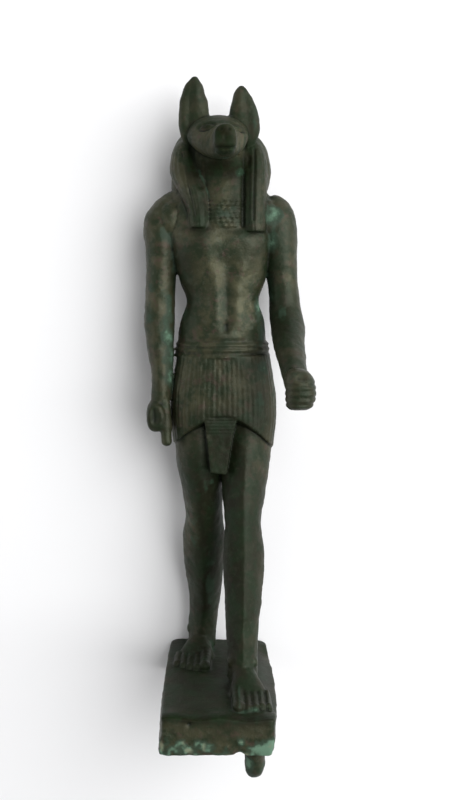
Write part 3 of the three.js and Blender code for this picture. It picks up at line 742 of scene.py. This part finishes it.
# Worn base
# The top of the base slopes off beside the left foot, its front edge wanders and its lower corner is worn.
# A casting pit and a notch show in its front.
on_base = 1 - rise(y, 9.6, 10.4)
slope = on_base * rise(y, 5, 8) * rise(x, 8.6, 13.2) * rise(z, 3, 9) * (1 - rise(z, 42, 47))
points[:, 1] -= 1.5 * slope
points[:, 1] += 0.3 * on_base * rise(y, 7, 8) * np.sin(x * 0.55 + 1.2) * rise(z, 44, 49)
push(-0.6 * near((-6.8, 7.6, 50.5), (0.6, 0.6, 1)))
push(-1.1 * near((4.6, 0, 50.5), (0.9, 1.3, 1.6)))
push(-0.9 * near((13.2, 0.2, 50.5), (1.2, 1.6, 2.5)))
push(-0.4 * near((-13, 1, 50.5), (0.8, 1.5, 2)))

# Skin of the casting
# Centuries of corrosion and handling left the whole skin slightly uneven, most of all on the base.
# How deep each point lies among its neighbours is kept, because dirt and corrosion gather in the hollows, and
# the hollows get painted shade as well.
HOLLOW_REACH = 14

broad = patches(5.0, 3)
middling = patches(1.7, 11)
fine = patches(0.75, 23)
rough = 1 + on_base * (0.3 - 0.9 * rise(y, 7.5, 8.5))
push(rough * (0.09 * broad + 0.06 * middling + 0.03 * fine))
points[:, 2] = np.maximum(points[:, 2], 0)
normals = lie_of_skin()
soft = points
for _ in range(HOLLOW_REACH):
    soft = average(soft)
hollow = ((soft - points) * normals).sum(1)

# Bronze
# Leaded bronze, grown dark olive brown over the years, with green corrosion in its hollows and crusts along
# the base.
# The rubbed high places keep a dull sheen. A spot is given by its middle, its three radii and its strength.
# The dark spots mix the figure's own dark patina with painted shade and painted shadow, and a spot below zero
# lightens the skin.
OLIVE = (0.074, 0.073, 0.038)
PATINA_AND_SHADE_BLACK = (0.0095, 0.0105, 0.004)
GREEN_BLACK = (0.011, 0.019, 0.007)
DEEP_GREEN = (0.009, 0.02, 0.007)
RED_BROWN = (0.06, 0.037, 0.029)
RUBBED = (0.06, 0.064, 0.042)
HOLLOW_DIRT_AND_SHADE = (0.008, 0.011, 0.005)
DULL_GREEN = (0.02, 0.04, 0.023)
MINT = (0.11, 0.2, 0.135)
PALE_CRUST = (0.2, 0.19, 0.12)
FACE_MIDDLE = (1, 139.5, 23)
FACE_RADII = (10, 8, 15)
GREEN_SPOTS = [
    ((-13.8, 118.8, 15), (1.6, 2.2, 4), 0.6),
    ((-11.4, 112, 12), (1.2, 6.5, 5), 0.65),
    ((-12.6, 98, 15), (1.4, 9, 5), 0.6),
    ((-12.4, 86, 16), (1.3, 9, 5), 0.6),
    ((-16.6, 100, 14), (2.2, 5, 4), 0.3),
    ((13.2, 122.3, 14), (1.7, 1.9, 4), 1.0),
    ((13.0, 115.4, 13), (1.5, 2.4, 5), 0.8),
    ((12.6, 107.5, 12), (1.0, 7, 5), 0.35),
    ((9.9, 99.6, 12), (1.0, 2.6, 6), 1.0),
    ((10.6, 94, 14), (1.3, 3, 5), 0.5),
    ((-8.7, 98.6, 12), (0.9, 1.6, 5), 0.7),
    ((9.6, 80, 18), (2.4, 6, 5), 0.35),
    ((11.2, 85, 17), (0.9, 1.6, 3), 0.8),
    ((8.9, 146.4, 13), (0.9, 1.3, 3), 0.95),
    ((8.8, 142.9, 13), (0.8, 1.3, 3), 0.7),
    ((-8.3, 144.6, 14), (1.3, 1.8, 3), 0.35),
    ((1.2, 134.0, 31), (1.8, 0.7, 3), 0.5),
    ((5.0, 132.2, 17), (0.8, 0.9, 3), 0.8),
    ((1.7, 122.3, 18), (3.4, 3.5, 4), 0.16),
    ((15.6, 97.5, 16), (1.6, 5, 5), 0.13),
    ((18.2, 80, 43), (3, 3, 3), 0.16),
    ((-2.4, 56, 15), (1.6, 6, 4), 0.35),
    ((-6.2, 43.5, 15), (1.5, 4.5, 4), 0.3),
    ((-2.3, 30, 13), (1.0, 7, 4), 0.4),
    ((-6, 9.6, 8), (5, 2.5, 8), 0.3),
    ((8.3, -7, 43), (3, 3, 4), 0.45),
    ((6.5, -4, 45.5), (0.9, 1.2, 2), 0.7),
]
green = sum(strength * near(place, radii) for place, radii, strength in GREEN_SPOTS)
green += 0.45 * line(0.3, (-4.8, 132.9), (-2.1, 126))
on_toes = rise(z, 36, 40)
green += 0.7 * on_toes * np.exp(-((beside((4.6, 13.4), (4.6, 9.8)) / 0.3) ** 2))
before_toes = rise(z, 43.5, 45) * (1 - rise(z, 46.5, 47.5))
green += 0.8 * before_toes * np.exp(-((beside((2.2, 8.6), (4.6, 8.4), (8.4, 9.0)) / 0.6) ** 2))
low_front = rise(z, 48, 50) * (1 - rise(y, 2.6, 5.4))
corner = near((9.5, 3, 50.5), (5, 3, 2)) + 0.5 * near((-1, 3, 50.5), (3.5, 2.5, 2))
green += low_front * (1.05 + 0.35 * broad + 0.4 * middling + 0.4 * fine + 0.4 * corner)
crust = low_front * (0.1 + 0.3 * middling + 0.4 * patches(1.1, 41) + 0.6 * near((-12, 3, 50), (2.5, 2.5, 3)))
# Dark spots. Some are the figure's own dark patina; many are painted shade and painted shadow where the head,
# the lappets, the chin and the legs shade the skin, and the spots below zero lighten it.
PATINA_AND_SHADE_SPOTS = [
    ((3.5, 104, 15), (8, 13, 20), -0.3),
    ((-15, 100, 12), (4, 26, 20), 0.1),
    ((6, 138, 20), (2, 6, 8), -0.25),
    ((-4.5, 36, 15), (9, 40, 30), 0.45),
    ((6, 34, 20), (6, 40, 30), 0.5),
    # Painted shade over the top of the base.
    ((0, 9, 22), (30, 3, 60), 0.5),
    ((-7.5, 101, 15), (4.5, 8, 12), 0.45),
    ((-3.0, 142.2, 23), (1.7, 0.9, 5), 0.6),
    ((4.9, 142.0, 22), (1.4, 0.9, 5), 0.5),
    # Painted shadow under the brow, and painted shade on the forehead above it.
    ((0.9, 143.2, 25), (4, 0.8, 6), 0.35),
    ((0.5, 145, 18), (6, 2, 6), 0.2),
    # Painted shade on the end of the muzzle that faces up, and in and under the mouth slot.
    ((0.6, 139.4, 35.5), (1.5, 1.3, 3), 0.5),
    ((2.3, 137.6, 35.5), (1.2, 1.1, 3), 0.35),
    ((1.3, 138.4, 34.5), (3.2, 3.6, 5), 0.6),
    ((1.3, 135.6, 34), (3.0, 0.8, 6), 0.7),
    # Painted shade in the furrow of the belly.
    ((1.9, 102, 19), (1.3, 11, 4), 0.45),
    # Painted shadow of the chin on the throat.
    ((1.0, 133.2, 16), (7, 2.2, 8), 1.0),
    # Painted shade between the face, the throat and the right lappet, and the painted shadow of the left
    # lappet on the collar.
    ((-6.8, 133.5, 15), (1.6, 7, 4), 0.6),
    ((-4.2, 123.5, 17), (1.9, 7, 5), 0.85),
    ((3.8, 125, 18), (1.2, 5, 4), 0.5),
    # Painted shade that dims the lit strands of the left lappet and darkens the grooves between them.
    ((7.9, 124, 17), (1.4, 8, 5), 0.4),
    ((6.2, 128, 18), (1.3, 11, 6), 0.5),
    ((8.8, 126, 16), (3.5, 12, 8), 0.35),
    ((1.7, 66, 20), (4.5, 9, 3), 0.35),
    # Painted shade between the thighs under the kilt.
    ((-4.0, 61, 14), (5, 9, 9), 0.3),
    # Painted shadow of the left leg on the right leg.
    ((-3.2, 50, 16), (2.6, 7, 6), 0.4),
    ((-2.6, 36, 13), (2.0, 18, 9), 0.4),
    # Painted shade on the inner side of the left shin, away from the light.
    ((3.4, 34, 23), (2.2, 25, 14), 0.35),
    # A painted reflection lightens the outer side of the right leg.
    ((-7.2, 45, 13), (2.4, 7, 6), -0.4),
    # Painted shadows under the cut ends of the lappets.
    ((5.9, 118, 15), (5.5, 0.6, 6), 0.8),
    ((-4.8, 118.8, 15), (3.6, 0.6, 6), 0.7),
    ((14.5, 108, 12), (3, 14, 8), 0.5),
    ((12.5, 108, 12), (1.2, 10, 8), 0.5),
    ((17, 90, 20), (4, 9, 12), 0.5),
    ((10, 78, 16), (4, 9, 9), 0.45),
    ((18.5, 80, 40), (5, 6, 6), 0.5),
    ((-16.2, 74, 17), (3.5, 5, 6), 0.45),
    ((-6.1, 148, 14), (4.5, 8, 5), 0.3),
    ((6.0, 147, 14), (4.5, 7, 5), 0.3),
    ((-6.6, 138.5, 14), (1.6, 6, 4), 0.35),
    ((8.0, 138.5, 14), (1.4, 6, 4), 0.3),
    ((17.2, 93, 17), (3, 5, 8), 0.3),
    ((-9, 112, 17), (5, 5, 6), 0.3),
]
patina_and_shade = sum(strength * near(place, radii) for place, radii, strength in PATINA_AND_SHADE_SPOTS)
# A painted shadow line darkens the base along its front top edge.
patina_and_shade += 0.9 * np.exp(-(((y - 9.2) / 0.8) ** 2)) * rise(z, 47.5, 49.5)
# What each point of the skin says: how dark it is from patina, painted shade and painted shadow, how shiny,
# how green and crusted it is, and how deep it lies.
marks = {
    "patina_and_shade": np.clip(0.5 + patina_and_shade + 0.12 * broad, 0, 1.3),
    "sheen": np.clip(1.0 - 0.75 * patina_and_shade, 0.15, 1) * (1 - near(FACE_MIDDLE, FACE_RADII)),
    "green": np.clip(green + 0.25 * (broad + middling) * (green > 0.08), 0, 1.3),
    "crust": np.clip(crust, 0, 1),
    "hollow": np.clip(0.5 + hollow / 0.3, 0, 1),
}
figure.data.vertices.foreach_set("co", points.astype(np.float32).ravel())
for name, values in marks.items():
    layer = figure.data.attributes.new(name, "FLOAT", "POINT")
    layer.data.foreach_set("value", values.astype(np.float32))
figure.data.update()

bronze = bpy.data.materials.new("dark_bronze")
bronze.use_nodes = True
nodes, link = bronze.node_tree.nodes, bronze.node_tree.links.new
shader = nodes["Principled BSDF"]
where = nodes.new("ShaderNodeTexCoord").outputs["Object"]


def mark(name):
    node = nodes.new("ShaderNodeAttribute")
    node.attribute_type = "GEOMETRY"
    node.attribute_name = name
    return node.outputs["Fac"]


def cloud(scale, detail=4, roughness=0.6):
    node = nodes.new("ShaderNodeTexNoise")
    link(where, node.inputs["Vector"])
    node.inputs["Scale"].default_value = scale
    node.inputs["Detail"].default_value = detail
    node.inputs["Roughness"].default_value = roughness
    return node.outputs["Fac"]


def sum_of(kind, first, second):
    node = nodes.new("ShaderNodeMath")
    node.operation = kind
    for socket, value in zip(node.inputs, (first, second)):
        if isinstance(value, (int, float)):
            socket.default_value = value
        else:
            link(value, socket)
    return node.outputs[0]


def between(value, low, high, to_low=0.0, to_high=1.0):
    node = nodes.new("ShaderNodeMapRange")
    node.interpolation_type = "SMOOTHSTEP"
    link(value, node.inputs["Value"])
    for name, number in (("From Min", low), ("From Max", high), ("To Min", to_low), ("To Max", to_high)):
        node.inputs[name].default_value = number
    return node.outputs["Result"]


def tint(share, first, second):
    node = nodes.new("ShaderNodeMix")
    node.data_type = "RGBA"
    link(share, node.inputs[0])
    for socket, colour in ((node.inputs[6], first), (node.inputs[7], second)):
        if isinstance(colour, tuple):
            socket.default_value = (*colour, 1)
        else:
            link(colour, socket)
    return node.outputs[2]


mottle = cloud(260)
speckle = cloud(900)
grain = cloud(2600, 3)
# This mark darkens the olive metal towards near black, for dark patina and for painted shade and painted
# shadow alike.
patina_and_shade_level = mark("patina_and_shade")
metal = tint(between(patina_and_shade_level, 0, 1.2), OLIVE, PATINA_AND_SHADE_BLACK)
worn = between(patina_and_shade_level, 0.3, 1.1, 0.7, 0.12)
metal = tint(between(cloud(110), 0.42, 0.62, 0, 0.5), metal, GREEN_BLACK)
metal = tint(between(mottle, 0.42, 0.62, 0, 0.75), metal, DEEP_GREEN)
metal = tint(sum_of("MULTIPLY", between(cloud(420), 0.54, 0.7), worn), metal, RED_BROWN)
metal = tint(sum_of("MULTIPLY", between(speckle, 0.5, 0.75), worn), metal, RUBBED)
# Hollows turn near black, partly from dirt and partly as painted shade.
metal = tint(between(mark("hollow"), 0.55, 0.95), metal, HOLLOW_DIRT_AND_SHADE)
film = sum_of("ADD", mark("green"), sum_of("MULTIPLY", sum_of("SUBTRACT", speckle, 0.5), 0.9))
skin_colour = tint(between(film, 0.12, 0.6, 0, 0.8), metal, DULL_GREEN)
skin_colour = tint(between(film, 0.6, 1.3, 0, 0.85), skin_colour, MINT)
skin_colour = tint(between(mark("crust"), 0.3, 0.9, 0, 0.8), skin_colour, PALE_CRUST)
link(skin_colour, shader.inputs["Base Color"])
sheen = mark("sheen")
bare = sum_of("MULTIPLY", between(film, 0.2, 0.7, 0.4, 0), sheen)
link(bare, shader.inputs["Metallic"])
link(sum_of("MULTIPLY", sheen, 0.35), shader.inputs["Specular IOR Level"])
dull = sum_of("ADD", between(film, 0.2, 0.8, 0, 0.3), between(sheen, 0, 1, 0.6, 0.4))
link(sum_of("ADD", dull, sum_of("MULTIPLY", grain, 0.12)), shader.inputs["Roughness"])
bump = nodes.new("ShaderNodeBump")
bump.inputs["Strength"].default_value = 0.6
bump.inputs["Distance"].default_value = 0.0002
link(sum_of("ADD", sum_of("MULTIPLY", speckle, 0.6), sum_of("MULTIPLY", grain, 0.4)), bump.inputs["Height"])
link(bump.outputs["Normal"], shader.inputs["Normal"])

triangles = sum(len(face.vertices) - 2 for face in figure.data.polygons)
settle("DECIMATE", ratio=min(1, MOST_TRIANGLES / triangles))
figure.data.transform(Matrix.Scale(0.001, 4) @ Matrix.Translation(-ORIGIN))
figure.data.materials.append(bronze)
figure.data.shade_smooth()
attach(figure, "root")
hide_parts("anubis_statuette")

# Table, light and camera
# White paper under soft daylight from the right, and a camera almost straight above the figure.
# The paper fills the camera's view, and a far wall lights its shadow side a little.
PAPER = 1.6
CAMERA_PLACE = (-0.001592, 0.03413, 0.264)
CAMERA_TURN = (radians(-7.125), radians(-0.487), 0)

floor_mesh = bpy.data.meshes.new("paper")
paper = bmesh.new()
bmesh.ops.create_grid(paper, x_segments=1, y_segments=1, size=PAPER / 2)
paper.to_mesh(floor_mesh)
paper.free()
floor = bpy.data.objects.new("paper", floor_mesh)
bpy.context.scene.collection.objects.link(floor)
white = bpy.data.materials.new("white_paper")
white.use_nodes = True
white.node_tree.nodes["Principled BSDF"].inputs["Base Color"].default_value = (0.86, 0.86, 0.87, 1)
white.node_tree.nodes["Principled BSDF"].inputs["Roughness"].default_value = 0.9
floor_mesh.materials.append(white)


def panel(name, place, size, power, target=(0, 0, 0.01)):
    lamp = bpy.data.lights.new(name, "AREA")
    lamp.shape = "RECTANGLE"
    lamp.size, lamp.size_y = size
    lamp.energy = power
    holder = bpy.data.objects.new(name, lamp)
    holder.location = place
    holder.rotation_euler = (Vector(target) - Vector(place)).to_track_quat("-Z", "Y").to_euler()
    bpy.context.scene.collection.objects.link(holder)


panel("window", (0.47, 0.2, 0.63), (0.9, 0.9), 11)
panel("far_wall", (-0.9, 0.1, 0.4), (0.6, 0.6), 2)

world = bpy.data.worlds.new("room")
bpy.context.scene.world = world
world.use_nodes = True
room, join = world.node_tree.nodes, world.node_tree.links.new
sight = room.new("ShaderNodeSeparateXYZ")
join(room.new("ShaderNodeTexCoord").outputs["Generated"], sight.inputs[0])
height = room.new("ShaderNodeMapRange")
join(sight.outputs["Z"], height.inputs["Value"])
for name, number in (("From Min", 0.2), ("From Max", 0.9), ("To Min", 0.5), ("To Max", 0.16)):
    height.inputs[name].default_value = number
join(height.outputs["Result"], room["Background"].inputs["Strength"])
room["Background"].inputs["Color"].default_value = (1, 1, 1, 1)

lens = bpy.data.cameras.new("camera")
lens.lens = 45
lens.sensor_width = 36
lens.clip_start = 0.02
camera = bpy.data.objects.new("camera", lens)
camera.location = CAMERA_PLACE
camera.rotation_euler = CAMERA_TURN
bpy.context.scene.collection.objects.link(camera)
bpy.context.scene.camera = camera
bpy.context.scene.view_settings.view_transform = "Standard"
